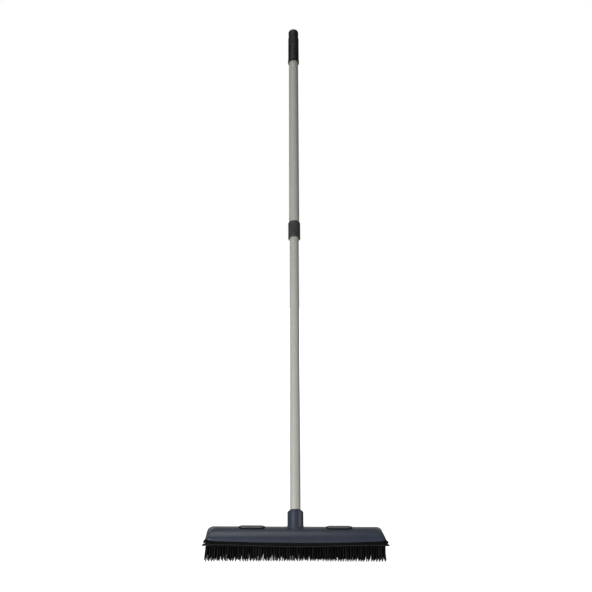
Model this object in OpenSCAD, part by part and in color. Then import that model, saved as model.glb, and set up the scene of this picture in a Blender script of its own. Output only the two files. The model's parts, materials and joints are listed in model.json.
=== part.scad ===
// Rubber-bristled carpet sweeper: a moulded head with a squeegee edge, screwed to a
// telescopic twist-lock pole. Millimetres. +X runs along the head, +Y points backwards,
// the way the pole leans, and +Z is up. The origin is on the floor, under the middle of the head.

/* [Head] */
// Width of the housing along X at its lower edge
head_w = 319; // [280:1:360]
// Depth of the housing, front to back
head_d = 64; // [60:1:72]
// Height of the crown of the housing above the floor
crown_z = 51.3; // [50:0.1:53]
// Height of the skirt's lower edge at the middle of the head
skirt_z = 32; // [31.8:0.1:32.2]
// How much higher the skirt's lower edge is at the two ends
skirt_rise = 3.8; // [3.5:0.1:4]
// Wall thickness of the housing
shell_t = 2.2; // [1.8:0.1:2.4]

/* [Bristles] */
// Number of bristle rows
rows = 11; // [7:2:11]
// Spacing of the rows
row_pitch = 5.5; // [4.4:0.1:5.5]
// Spacing of the bristles within a row
bristle_pitch = 4.5; // [4:0.1:6]
// Diameter of a bristle at its root
bristle_root_d = 2.6; // [2:0.1:3]
// Diameter of a bristle at its tip
bristle_tip_d = 1.5; // [1:0.1:2]
// Length of a bristle below its row strip
bristle_l = 24.4; // [20:0.1:24.4]

/* [Squeegee] */
// Length of the squeegee along X, longer than the housing
squeegee_w = 327.5; // [325:0.5:340]
// How far the blade stands out in front of the housing
blade_reach = 4.6; // [3:0.1:8]

/* [Oval plugs] */
// Length of the oval pocket
oval_l = 47; // [40:1:60]
// Width of the oval pocket
oval_w = 18; // [15:1:20]
// Distance from the middle of the head to the middle of each oval
oval_x = 78; // [60:1:100]

/* [Pole] */
// Angle between the pole and the vertical
lean = 28; // [24:1:32]
// Outside diameter of the lower tube
lower_d = 19; // [18:0.5:19.5]
// Outside diameter of the upper tube
upper_d = 22; // [21.5:0.5:23]
// Wall thickness of both tubes
tube_t = 0.8; // [0.6:0.1:0.8]
// Length of the lower tube that shows between the socket and the collar
lower_shown = 577; // [480:1:620]
// Length of the upper tube that shows between the collar and the grip
upper_shown = 450; // [400:1:500]
// Length of the collar
collar_l = 40; // [34:1:50]
// Outside diameter of the collar
collar_d = 25.8; // [25:0.1:28]
// Length of the grip
grip_l = 77; // [70:1:110]
// Outside diameter of the grip
grip_d = 25.2; // [24:0.1:30]
// Length of the hanging cap above the grip
cap_l = 25; // [22:1:40]
// Radius of the hanging hole
hang_r = 3.5; // [3:0.1:4]

/* [Hidden] */
$fn = 64;
fine = 256;               // segments on the large arcs
gap = 0.1;                // radial clearance of parts that slide or turn
seat = 0.05;              // clearance of parts that are fitted together for good
reach = 200;              // longer than any cut that has to pass right through

// Head section: a flat crown arc, a smaller shoulder arc and a vertical wall on each side
crown_r = 46;
shoulder_r = 14;
half_d = head_d / 2;
crown_c = crown_z - crown_r;
overhang = 1.2;           // the arcs run past the plan outline and are cut off by it
shoulder_y = half_d + overhang - shoulder_r;
shoulder_z = crown_c + sqrt(pow(crown_r - shoulder_r, 2) - pow(shoulder_y, 2));

// Head ends: a quarter-round shoulder in the front view, rounded corners in plan
end_r = 28;
end_z = 26;
end_overhang = 2.2;
corner_r = 12;
skirt_r = (pow(head_w / 2, 2) + pow(skirt_rise, 2)) / (2 * skirt_rise);

// Rubber mat: a tray whose wall stands inside the housing's skirt
mat_inset = shell_t + 0.2;
mat_wall = 2.2;
mat_z = 26;
mat_t = 2;
mat_top = 36;
mat_lip_t = 1.2;
strip_t = mat_z - bristle_l;
strip_w = 3.4;
strip_inset = 0.5;
row_margin = 2;

// Carrier plate inside the mat
carrier_inset = mat_inset + mat_wall + 0.2;
carrier_z = mat_z + mat_t;
carrier_t = 2.4;
carrier_rib_top = 36;
rib_t = 1.6;
boss_r = 4.2;
long_rib_x = 90;
long_rib_y = 14;
long_rib_l = 130;
cross_ribs = [28, 53, 103, 128];
crown_ribs = [38, 118];
crown_rib_z = 39;

// Oval pockets, plugs and screws
pocket_z = crown_z - 4.5;
pocket_floor = 2.6;
pocket_wall = 2.2;
seal_w = 1.8;
seal_proud = 1.5;
plug_proud = 2.3;
screw_r = 1.5;
screw_head_r = 3.2;
screw_head_t = 2.4;
screw_l = 15;
screw_slot = [3.6, 0.8, 1.2];
hole_gap = 0.3;

// Squeegee
root_z = 27.3;
root_top = 31.7;
blade_drop = 5.2;
blade_edge = 0.4;
ear_z = 31.6;
ear_t = 3.2;
ear_back = 18;
ear_side = 0.6;

// Stations along the pole, measured from the point on its axis that is 30 mm above the floor
pole_foot = [0, 0, 30];
socket_bottom = 13;
socket_top = 52;
socket_r = 14.5;
socket_chamfer = 3.6;
thread_bottom = 19;
thread_top = 41.5;
thread_pitch = 5;
thread_turns = 4;
thread_core_r = 6.6;
thread_crest_r = 8.1;
thread_gap = 0.25;
thread_sunk = 0.4;
thread_root_w = 2.9;
thread_crest_w = 1.4;
tip_plug_l = 26;
lower_bottom = 44;
collar_bottom = socket_top + lower_shown;
collar_top = collar_bottom + collar_l;
collar_lip = 4;
upper_bottom = collar_bottom + collar_lip;
grip_bottom = collar_top + upper_shown;
grip_top = grip_bottom + grip_l;
cap_top = grip_top + cap_l;
upper_top = grip_top + 1;
cap_plug_l = 24;
hang_s = grip_top + 9;
lower_top = collar_top + 50;

// Tube bores
lower_bore_r = lower_d / 2 - tube_t;
upper_bore_r = upper_d / 2 - tube_t;

// Guide bush between the tubes
bush_l = 30;
bush_flange_t = 1.4;
bush_gap = 0.08;
mouth_gap = 0.15;

// Twist lock
plug_l = 26;
flange_t = 3;
stud_r = 4;
stud_l = 34;
stud_pitch = 3;
stud_depth = 0.6;
stud_turns = 5;
expander_l = 26;
expander_base = 5;
expander_r = upper_bore_r - gap;
cone_l = 14;
cone_r_low = 5.9;
cone_r_high = 8;
cone_gap = 0.12;
slit_w = 3;
fin_w = 2.6;
fin_short = 0.5;
stop_r = 7;
stop_t = 2.4;

row_names = [for (i = [1:rows]) str("bristle_row_", i)];

// ---------- shared shapes ----------

// Moves its children onto the pole's axis, s millimetres up it
module on_pole(s = 0) {
    translate(pole_foot) rotate([-lean, 0, 0]) translate([0, 0, s]) children();
}

module tube(r_out, r_in, from, to) {
    on_pole(from) difference() {
        cylinder(r = r_out, h = to - from);
        translate([0, 0, -1]) cylinder(r = r_in, h = to - from + 2);
    }
}

// A rectangle with true round corners, centred
module round_rect(w, d, r) {
    union() {
        square([w - 2 * r, d], center = true);
        square([w, d - 2 * r], center = true);
        for (x = [-1, 1], y = [-1, 1]) translate([x * (w / 2 - r), y * (d / 2 - r)]) circle(r = r);
    }
}

// A stadium with its long axis along X, centred
module stadium(l, w) {
    union() {
        square([l - w, w], center = true);
        for (x = [-1, 1]) translate([x * (l - w) / 2, 0]) circle(d = w);
    }
}

// The head's outline in plan, moved inwards by inset
module head_plan(inset) {
    round_rect(head_w - 2 * inset, head_d - 2 * inset, corner_r - inset);
}

// The head's arched section, drawn in YZ and left wider than the plan
module head_section(inset) {
    crown = crown_r - inset;
    shoulder = shoulder_r - inset;
    tangent_y = crown * shoulder_y / (crown_r - shoulder_r);
    union() {
        intersection() {
            translate([0, crown_c]) circle(r = crown, $fn = fine);
            translate([-tangent_y, 0]) square([2 * tangent_y, crown_z]);
        }
        for (y = [-1, 1]) translate([y * shoulder_y, shoulder_z]) circle(r = shoulder);
        translate([-shoulder_y - shoulder, 0]) square([2 * (shoulder_y + shoulder), shoulder_z]);
    }
}

// The head's front view, with its two round shoulders, drawn in XZ and left wider than the plan
module head_front(inset) {
    shoulder_x = head_w / 2 + end_overhang - end_r;
    union() {
        translate([-shoulder_x, 0]) square([2 * shoulder_x, crown_z + end_r]);
        for (x = [-1, 1]) translate([x * shoulder_x, end_z]) circle(r = end_r - inset);
        translate([-shoulder_x - end_r + inset, 0]) square([2 * (shoulder_x + end_r - inset), end_z]);
    }
}

module front_prism(inset) {
    rotate([90, 0, 0]) linear_extrude(reach, center = true) head_front(inset);
}

// The solid head form: section, front view and plan cut from one another
module head_form(inset = 0) {
    intersection() {
        rotate([90, 0, 90]) linear_extrude(2 * reach, center = true) head_section(inset);
        front_prism(inset);
        linear_extrude(reach) head_plan(inset);
    }
}

// Everything above the skirt's curved lower edge
module above_skirt() {
    translate([0, 0, skirt_z + skirt_r]) rotate([90, 0, 0])
        cylinder(r = skirt_r, h = reach, center = true, $fn = 2048);
}

// One four-cornered helical ridge around Z
module helix_ridge(core, crest, pitch, turns, root_w, crest_w) {
    per_turn = 20;
    steps = per_turn * turns;
    section = [[core, -root_w / 2], [crest, -crest_w / 2], [crest, crest_w / 2], [core, root_w / 2]];
    points = [for (i = [0:steps]) for (p = section)
        let (a = 360 * i / per_turn) [p[0] * cos(a), p[0] * sin(a), p[1] + pitch * i / per_turn]];
    sides = [for (i = [0:steps - 1]) for (k = [0:3])
        [4 * i + k, 4 * i + (k + 1) % 4, 4 * (i + 1) + (k + 1) % 4, 4 * (i + 1) + k]];
    polyhedron(points, concat([[3, 2, 1, 0]], sides, [[for (k = [0:3]) 4 * steps + k]]), convexity = 10);
}

// ---------- head ----------

module pocket_tub(x) {
    intersection() {
        head_form();
        translate([x, 0, pocket_z - pocket_floor])
            linear_extrude(crown_z) stadium(oval_l + 2 * pocket_wall, oval_w + 2 * pocket_wall);
    }
}

module pocket_cut(x) {
    translate([x, 0, pocket_z]) linear_extrude(crown_z) stadium(oval_l, oval_w);
    translate([x, 0, pocket_z - 2 * pocket_floor]) cylinder(r = screw_r + hole_gap, h = 3 * pocket_floor);
}

module socket_form() {
    on_pole(socket_bottom) cylinder(r = socket_r, h = socket_top - socket_chamfer - socket_bottom);
    on_pole(socket_top - socket_chamfer)
        cylinder(r1 = socket_r, r2 = socket_r - socket_chamfer, h = socket_chamfer);
}

module socket_bore() {
    on_pole(thread_top) cylinder(r = lower_d / 2 + gap, h = reach);
    on_pole(thread_bottom - 1) cylinder(r = thread_core_r + thread_gap, h = reach);
    on_pole(thread_bottom + thread_gap)
        helix_ridge(thread_core_r - thread_sunk, thread_crest_r + thread_gap, thread_pitch, thread_turns,
                    thread_root_w + 2 * thread_gap, thread_crest_w + 2 * thread_gap);
}

module housing() {
    color("#474d58") difference() {
        union() {
            intersection() {
                difference() {
                    head_form();
                    head_form(shell_t);
                }
                above_skirt();
            }
            for (x = [-oval_x, oval_x]) pocket_tub(x);
            intersection() {
                head_form(shell_t / 2);
                for (side = [-1, 1], x = crown_ribs) translate([side * x - rib_t / 2, -half_d, crown_rib_z])
                    cube([rib_t, head_d, crown_z]);
            }
            socket_form();
        }
        for (x = [-oval_x, oval_x]) pocket_cut(x);
        socket_bore();
    }
}

module carrier_plate() {
    rib_h = carrier_rib_top - carrier_z;
    color("#26282b") difference() {
        union() {
            translate([0, 0, carrier_z]) linear_extrude(carrier_t) head_plan(carrier_inset);
            translate([0, 0, carrier_z]) linear_extrude(rib_h) difference() {
                head_plan(carrier_inset);
                head_plan(carrier_inset + rib_t);
            }
            translate([0, 0, carrier_z]) linear_extrude(rib_h) intersection() {
                head_plan(carrier_inset);
                for (side = [-1, 1]) {
                    for (y = [-1, 1]) translate([side * long_rib_x, y * long_rib_y])
                        square([long_rib_l, rib_t], center = true);
                    for (x = cross_ribs) translate([side * x, 0]) square([rib_t, head_d], center = true);
                }
            }
            for (x = [-oval_x, oval_x]) translate([x, 0, carrier_z])
                cylinder(r = boss_r, h = pocket_z - pocket_floor - seat - carrier_z);
        }
        for (x = [-oval_x, oval_x]) translate([x, 0, carrier_z + carrier_t])
            cylinder(r = screw_r + seat / 2, h = reach);
    }
}

module rubber_mat() {
    color("#17181a") {
        translate([0, 0, mat_z]) linear_extrude(mat_t) head_plan(mat_inset);
        translate([0, 0, mat_z]) linear_extrude(mat_lip_t) head_plan(0);
        intersection() {
            translate([0, 0, mat_z]) linear_extrude(mat_top - mat_z) difference() {
                head_plan(mat_inset);
                head_plan(mat_inset + mat_wall);
            }
            front_prism(mat_inset);
        }
    }
}

module bristle_row(i) {
    y = (i - (rows + 1) / 2) * row_pitch;
    into_corner = max(abs(y) - (half_d - corner_r), 0);
    row_w = head_w - row_margin - 2 * (corner_r - sqrt(pow(corner_r, 2) - pow(into_corner, 2)));
    fitted = floor(row_w / bristle_pitch) + 1;
    count = fitted - (fitted + i + (rows + 1) / 2 + 1) % 2;
    color("#131416") {
        intersection() {
            translate([0, y, mat_z - strip_t / 2]) cube([head_w, strip_w, strip_t], center = true);
            linear_extrude(reach) head_plan(strip_inset);
        }
        for (k = [0:count - 1]) translate([(k - (count - 1) / 2) * bristle_pitch, y, 0])
            cylinder(d1 = bristle_tip_d, d2 = bristle_root_d, h = bristle_l + strip_t / 2, $fn = 24);
    }
}

// The squeegee's root is clamped between the mat's lip and the skirt. The blade slopes
// forwards and down from it, and an ear stands above the blade at each end.
module squeegee() {
    back = mat_inset - seat - half_d;
    front = -half_d - blade_reach;
    edge_z = root_top - blade_drop;
    profile = [[back, root_z], [-half_d, root_z], [front + blade_edge, edge_z - blade_edge], [front, edge_z],
               [front + blade_edge, edge_z + blade_edge], [-half_d - blade_edge, root_top - blade_edge],
               [blade_edge - half_d, root_top], [back, root_top]];
    root_t = root_top - root_z;
    straight = head_w / 2 - corner_r;
    tip = squeegee_w / 2;
    color("#1b1c1f") {
        rotate([90, 0, 90]) linear_extrude(2 * straight, center = true) polygon(profile);
        // Beyond the round corners only the blade runs on
        intersection() {
            rotate([90, 0, 90]) linear_extrude(squeegee_w, center = true) polygon(profile);
            translate([-tip, front - 1, 0]) cube([squeegee_w, blade_reach + 1 + root_t / 2, mat_top]);
        }
        for (side = [0, 1]) mirror([side, 0, 0]) {
            translate([0, 0, ear_z]) linear_extrude(ear_t) difference() {
                polygon([[straight, back], [straight, -half_d - ear_side], [tip - 1, -half_d - ear_side],
                         [head_w / 2 + ear_side, ear_back - half_d],
                         [head_w / 2 - mat_inset, ear_back + 1 - half_d],
                         [straight, -half_d + corner_r]]);
                head_plan(mat_inset - seat);
            }
            translate([straight, -half_d - ear_side, root_top - root_t / 2])
                cube([head_w / 2 - straight - 2, 2 * ear_side, ear_z - root_top + root_t]);
        }
    }
}

module oval_plug(side) {
    l = oval_l - 2 * seal_w - 2 * seat;
    w = oval_w - 2 * seal_w - 2 * seat;
    color("#3a3b3e") translate([side * oval_x, 0, 0]) difference() {
        intersection() {
            translate([0, 0, pocket_z + seat]) linear_extrude(crown_z) stadium(l, w);
            translate([0, 0, crown_c + plug_proud]) rotate([0, 90, 0])
                cylinder(r = crown_r, h = oval_l, center = true, $fn = fine);
        }
        translate([0, 0, pocket_z - 1])
            cylinder(r = screw_head_r + 2 * hole_gap, h = screw_head_t + 1 + hole_gap);
    }
}

module plug_seals() {
    color("#0f1011") for (x = [-oval_x, oval_x]) translate([x, 0, 0]) intersection() {
        translate([0, 0, pocket_z + seat]) linear_extrude(crown_z) difference() {
            stadium(oval_l - 2 * seat, oval_w - 2 * seat);
            stadium(oval_l - 2 * seal_w, oval_w - 2 * seal_w);
        }
        translate([0, 0, crown_c + seal_proud]) rotate([0, 90, 0])
            cylinder(r = crown_r, h = oval_l, center = true, $fn = fine);
    }
}

module cover_screws() {
    color("silver") for (x = [-oval_x, oval_x]) translate([x, 0, pocket_z]) difference() {
        union() {
            translate([0, 0, seat]) cylinder(r = screw_head_r, h = screw_head_t - seat);
            translate([0, 0, -screw_l]) cylinder(r = screw_r, h = screw_l + 1);
        }
        for (a = [0, 90]) rotate([0, 0, a]) translate([0, 0, screw_head_t])
            cube([screw_slot[0], screw_slot[1], 2 * screw_slot[2]], center = true);
    }
}

// ---------- pole ----------

module pole_tip() {
    color("#2a2c30") {
        on_pole(lower_bottom) cylinder(r = lower_bore_r - seat, h = tip_plug_l);
        on_pole(thread_top + seat) cylinder(r = lower_d / 2, h = lower_bottom - thread_top - 2 * seat);
        on_pole(thread_bottom) cylinder(r = thread_core_r, h = lower_bottom - thread_bottom + 1);
        on_pole(thread_bottom + thread_gap)
            helix_ridge(thread_core_r - thread_sunk, thread_crest_r, thread_pitch, thread_turns,
                        thread_root_w, thread_crest_w);
    }
}

module lower_tube() {
    color("#a3a399") tube(lower_d / 2, lower_bore_r, lower_bottom, lower_top);
}

module lock_spindle() {
    color("#d8d8d4") {
        on_pole(lower_top - plug_l) cylinder(r = lower_bore_r - seat, h = plug_l + 1);
        on_pole(lower_top + seat) cylinder(r = lower_d / 2, h = flange_t);
        on_pole(lower_top) cylinder(r = stud_r - stud_depth, h = flange_t + stud_l);
        on_pole(lower_top) cylinder(r = stud_r, h = flange_t + expander_base + 2);
        for (k = [1:stud_turns]) on_pole(lower_top + flange_t + expander_base + stud_pitch * k)
            cylinder(r1 = stud_r - stud_depth, r2 = stud_r, h = stud_pitch / 3);
    }
}

module lock_stop() {
    color("silver") on_pole(lower_top + flange_t + stud_l - stop_t) difference() {
        cylinder(r = stop_r, h = stop_t);
        translate([0, 0, -1]) cylinder(r = stud_r - stud_depth + seat, h = stop_t + 2);
    }
}

// The split sleeve that grips the inside of the upper tube
module lock_expander() {
    from = lower_top + flange_t + 0.3;
    color("#c9362c") on_pole(from) difference() {
        cylinder(r = expander_r, h = expander_l);
        translate([0, 0, -1]) cylinder(r = stud_r + gap, h = expander_l + 2);
        translate([0, 0, expander_base]) cylinder(r = cone_r_low + cone_gap, h = expander_l);
        translate([0, 0, expander_l - cone_l - 1])
            cylinder(r1 = cone_r_low + cone_gap, r2 = cone_r_high + cone_gap, h = cone_l + 0.01);
        translate([0, 0, expander_l - 1.01]) cylinder(r = cone_r_high + cone_gap, h = 2);
        for (a = [0, 90]) rotate([0, 0, a]) translate([-slit_w / 2, -reach / 2, expander_base + 1])
            cube([slit_w, reach, expander_l]);
    }
}

// The cone nut that spreads the sleeve, keyed into two of its slits
module lock_cone() {
    from = lower_top + flange_t + 0.3 + expander_l - cone_l - 1;
    color("#e6e2d6") on_pole(from) difference() {
        union() {
            cylinder(r1 = cone_r_low, r2 = cone_r_high, h = cone_l);
            for (a = [0, 180]) rotate([0, 0, a]) translate([0, -fin_w / 2, 1])
                cube([expander_r - fin_short, fin_w, cone_l - 1]);
        }
        translate([0, 0, -1]) cylinder(r = stud_r + gap, h = cone_l + 2);
    }
}

module collar() {
    ribs = 28;
    rib = [0.9, 1.2];
    shaft_r = collar_d / 2 - 0.5;
    band_l = 4;
    top_band_l = 3;
    bevel = 2.4;
    bevel_in = 1.4;
    color("#3a3b3c") difference() {
        union() {
            on_pole(collar_bottom) cylinder(r = collar_d / 2, h = band_l);
            on_pole(collar_bottom) cylinder(r = shaft_r, h = collar_l - bevel);
            on_pole(collar_top - bevel - top_band_l) cylinder(r = collar_d / 2, h = top_band_l);
            on_pole(collar_top - bevel) cylinder(r1 = collar_d / 2, r2 = collar_d / 2 - bevel_in, h = bevel);
            for (k = [0:ribs - 1]) on_pole(collar_bottom + band_l) rotate([0, 0, 360 * k / ribs])
                translate([collar_d / 2 - 0.1 - rib[0], -rib[1] / 2, 0])
                    cube([rib[0], rib[1], collar_l - bevel - band_l - top_band_l]);
        }
        on_pole(collar_bottom - 1) cylinder(r = lower_d / 2 + mouth_gap, h = reach);
        on_pole(upper_bottom - bush_flange_t) cylinder(r = upper_d / 2 + seat, h = reach);
    }
}

module guide_bush() {
    color("#e9e7df") difference() {
        union() {
            on_pole(upper_bottom - bush_flange_t + seat)
                cylinder(r = upper_d / 2, h = bush_flange_t - 2 * seat);
            on_pole(upper_bottom - bush_flange_t + seat)
                cylinder(r = upper_bore_r - seat, h = bush_l);
        }
        on_pole(upper_bottom - bush_flange_t - 1) cylinder(r = lower_d / 2 + bush_gap, h = bush_l + 2);
    }
}

module upper_tube() {
    color("#9a9a90") tube(upper_d / 2, upper_bore_r, upper_bottom, upper_top);
}

module grip() {
    bead_l = 7;
    bead_r = grip_d / 2 + 0.5;
    bead_taper = 2;
    groove = [0.6, 1.6];
    groove_s = 19.5;
    groove_pitch = 7;
    grooves = 4;
    flute = [0.3, 1.4];
    flute_s = 47;
    flute_end = 4;
    flutes = 24;
    color("#1f2022") difference() {
        union() {
            on_pole(grip_bottom) cylinder(r = bead_r, h = bead_l);
            on_pole(grip_bottom + bead_l) cylinder(r1 = bead_r, r2 = grip_d / 2, h = bead_taper);
            on_pole(grip_bottom + bead_l) cylinder(r = grip_d / 2, h = grip_l - bead_l);
        }
        on_pole(grip_bottom - 1) cylinder(r = upper_d / 2 + seat, h = grip_l + 2);
        for (k = [0:grooves - 1]) on_pole(grip_bottom + groove_s + groove_pitch * k) difference() {
            cylinder(r = grip_d, h = groove[1]);
            translate([0, 0, -1]) cylinder(r = grip_d / 2 - groove[0], h = groove[1] + 2);
        }
        for (k = [0:flutes - 1]) on_pole(grip_bottom + flute_s) rotate([0, 0, 360 * k / flutes])
            translate([grip_d / 2 - flute[0], -flute[1] / 2, 0])
                cube([grip_d, flute[1], grip_l - flute_s - flute_end]);
    }
}

module hanging_cap() {
    cap_r = grip_d / 2 - 0.7;
    shoulder = 6;
    color("#1f2022") difference() {
        union() {
            on_pole(upper_top - cap_plug_l) cylinder(r = upper_bore_r - seat, h = cap_plug_l + 1);
            on_pole(upper_top + seat) cylinder(r = cap_r, h = cap_top - shoulder - upper_top - seat);
            on_pole(cap_top - shoulder) rotate_extrude() union() {
                square([cap_r - shoulder, shoulder]);
                intersection() {
                    translate([cap_r - shoulder, 0]) circle(r = shoulder);
                    square([cap_r, shoulder]);
                }
            }
        }
        on_pole(hang_s) rotate([0, 90, 0]) cylinder(r = hang_r, h = reach, center = true);
    }
}

housing();
carrier_plate();
rubber_mat();
squeegee();
oval_plug(-1);  // oval_plug_left
oval_plug(1);  // oval_plug_right
plug_seals();
cover_screws();
pole_tip();
lower_tube();
lock_spindle();
lock_stop();
lock_expander();
lock_cone();
collar();
guide_bush();
upper_tube();
grip();
hanging_cap();
for (i = [1:rows]) bristle_row(i);
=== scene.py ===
import json
import math
import random

import bmesh
import bpy
import numpy as np
from mathutils import Matrix, Vector


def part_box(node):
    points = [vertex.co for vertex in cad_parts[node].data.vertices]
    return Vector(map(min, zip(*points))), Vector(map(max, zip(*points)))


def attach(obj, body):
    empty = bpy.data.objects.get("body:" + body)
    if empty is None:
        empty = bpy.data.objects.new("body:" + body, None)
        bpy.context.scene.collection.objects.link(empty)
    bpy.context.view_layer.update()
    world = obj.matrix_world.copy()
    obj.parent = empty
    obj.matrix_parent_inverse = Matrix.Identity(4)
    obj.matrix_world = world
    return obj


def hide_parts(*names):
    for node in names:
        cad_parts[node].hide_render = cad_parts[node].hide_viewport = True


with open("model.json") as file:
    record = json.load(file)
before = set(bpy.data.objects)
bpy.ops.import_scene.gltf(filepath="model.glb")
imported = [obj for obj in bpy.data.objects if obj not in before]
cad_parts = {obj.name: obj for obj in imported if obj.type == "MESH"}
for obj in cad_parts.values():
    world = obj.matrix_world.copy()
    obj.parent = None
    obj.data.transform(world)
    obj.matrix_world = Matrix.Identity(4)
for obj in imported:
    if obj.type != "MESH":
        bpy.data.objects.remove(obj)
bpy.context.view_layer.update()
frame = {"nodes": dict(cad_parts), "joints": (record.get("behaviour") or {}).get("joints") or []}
MM = 0.001                       # the meshes below are worked out in millimetres
rng = random.Random(11)

# ---------------------------------------------------------------- the pole's own frame
FOOT_Z = 30.0                    # stations on the pole count from where its axis is this high
lock = next(j for j in frame["joints"] if j["name"] == "lock_twist")
POLE = np.array(lock["axis"]) / np.linalg.norm(lock["axis"])
LOCK = np.array(lock["pos_m"]) / MM
FOOT = LOCK - POLE * (LOCK[2] - FOOT_Z) / POLE[2]
SIDE = np.array((1.0, 0.0, 0.0))
BACK = np.cross(POLE, SIDE)                               # backwards and down, square to the pole


def span(node):
    """(first station, last station, inner radius, outer radius) of a CAD node on the pole."""
    v = np.array([p.co[:] for p in frame["nodes"][node].data.vertices]) / MM - FOOT
    s = v @ POLE
    r = np.linalg.norm(v - np.outer(s, POLE), axis=1)
    return float(s.min()), float(s.max()), float(r.min()), float(r.max())


# ---------------------------------------------------------------- mesh helpers
def rings(rows, closed=False, caps=False):
    """(points, faces) of a run of rings that all have the same number of points."""
    n = len(rows[0])
    faces = []
    for i in range(len(rows) if closed else len(rows) - 1):
        a, b = i * n, ((i + 1) % len(rows)) * n
        faces += [(a + j, a + (j + 1) % n, b + (j + 1) % n, b + j) for j in range(n)]
    if caps:
        last = (len(rows) - 1) * n
        faces += [tuple(range(n))[::-1], tuple(range(last, last + n))]
    return np.vstack(rows), faces


def merged(shapes):
    """Several (points, faces) shapes as one."""
    points, faces, count = [], [], 0
    for p, f in shapes:
        points.append(p)
        faces += [tuple(i + count for i in face) for face in f]
        count += len(p)
    return np.vstack(points), faces


def make(name, shape, body=None, material=None, replaces=(), sharp=35):
    """A mesh object from a shape in millimetres.
    Given a body, it rides on it and stands for the CAD nodes in replaces."""
    mesh = bpy.data.meshes.new(name)
    mesh.from_pydata((shape[0] * MM).tolist(), [], shape[1])
    mesh.validate()
    ob = bpy.data.objects.new(name, mesh)
    bpy.context.scene.collection.objects.link(ob)
    tidy(ob, sharp)
    if body:
        mesh.materials.append(material)
        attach(ob, body)
        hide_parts(*replaces)
    return ob


def tidy(ob, sharp):
    """Merges points that coincide, turns the faces outwards and sets which edges are sharp."""
    near = 0.002 * MM
    bm = bmesh.new()
    bm.from_mesh(ob.data)
    bmesh.ops.remove_doubles(bm, verts=bm.verts, dist=near)
    bmesh.ops.dissolve_degenerate(bm, edges=bm.edges, dist=near)
    bmesh.ops.recalc_face_normals(bm, faces=bm.faces)
    bm.to_mesh(ob.data)
    bm.free()
    ob.data.polygons.foreach_set("use_smooth", [True] * len(ob.data.polygons))
    ob.data.set_sharp_from_angle(angle=math.radians(sharp))


def rounded(points, steps):
    """A closed outline whose corners (x, y, radius) are turned into small arcs."""
    out = []
    for i, (x, y, r) in enumerate(points):
        if r <= 0:
            out.append((x, y))
            continue
        a, b, c = (np.array(points[(i + k) % len(points)][:2], float) for k in (-1, 0, 1))
        u, v = a - b, c - b
        lu, lv = np.linalg.norm(u), np.linalg.norm(v)
        u, v = u / lu, v / lv
        ang = math.acos(max(-1, min(1, float(u @ v))))
        t = min(r / math.tan(ang / 2), 0.49 * lu, 0.49 * lv)
        r = t * math.tan(ang / 2)
        centre = b + (u + v) / np.linalg.norm(u + v) * (r / math.sin(ang / 2))
        p0, p1 = b + u * t - centre, b + v * t - centre
        a0, a1 = math.atan2(p0[1], p0[0]), math.atan2(p1[1], p1[0])
        d = (a1 - a0 + math.pi) % (2 * math.pi) - math.pi
        out += [tuple(centre + r * np.array((math.cos(a0 + d * k / steps), math.sin(a0 + d * k / steps))))
                for k in range(steps + 1)]
    return out


def turned(profile, segs, shape=None, origin=FOOT, axis=POLE, side=SIDE):
    """Rings for the (radius, station) points of profile, turned round the pole's axis or another.
    shape(angle, radius, station) may change the radius."""
    across = np.cross(axis, side)
    angles = 2 * math.pi * np.arange(segs) / segs
    rows = []
    for r, s in profile:
        radii = np.array([shape(a, r, s) if shape else r for a in angles])
        rows.append(origin + axis * s + np.outer(radii * np.cos(angles), side)
                    + np.outer(radii * np.sin(angles), across))
    return rows


def cut(ob, tool, operation="DIFFERENCE", sharp=35):
    """Applies a boolean of a throw-away tool object to ob's mesh."""
    m = ob.modifiers.new("cut", "BOOLEAN")
    m.object, m.operation, m.solver = tool, operation, "EXACT"
    graph = bpy.context.evaluated_depsgraph_get()
    mesh = bpy.data.meshes.new_from_object(ob.evaluated_get(graph))
    ob.modifiers.remove(m)
    old, ob.data = ob.data, mesh
    bpy.data.meshes.remove(old)
    bpy.data.objects.remove(tool)
    tidy(ob, sharp)
    return ob


def search(low, high, below):
    """Where below(x) turns from true to false, found for every point at once by halving."""
    for _ in range(40):
        mid = (low + high) / 2
        under = below(mid)
        low, high = np.where(under, mid, low), np.where(under, high, mid)
    return high


def even(low, high, step):
    """Numbers from low to high, about step apart."""
    n = max(1, round((high - low) / step))
    return [low + (high - low) * k / n for k in range(n + 1)]


def smooth(x):
    """0 up to x = 0 and 1 from x = 1, with a soft step between."""
    x = min(1.0, max(0.0, x))
    return x * x * (3 - 2 * x)


# ---------------------------------------------------------------- materials
def map_range(tree, value, low, high, to_low, to_high):
    """A node that takes value from low...high to to_low...to_high."""
    n = tree.nodes.new("ShaderNodeMapRange")
    n.inputs["From Min"].default_value, n.inputs["From Max"].default_value = low, high
    n.inputs["To Min"].default_value, n.inputs["To Max"].default_value = to_low, to_high
    tree.links.new(value, n.inputs["Value"])
    return n


def times(colour, factor, offset=0.0):
    """A colour made paler or darker."""
    return tuple(min(1, c * factor + offset) for c in colour)


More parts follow.
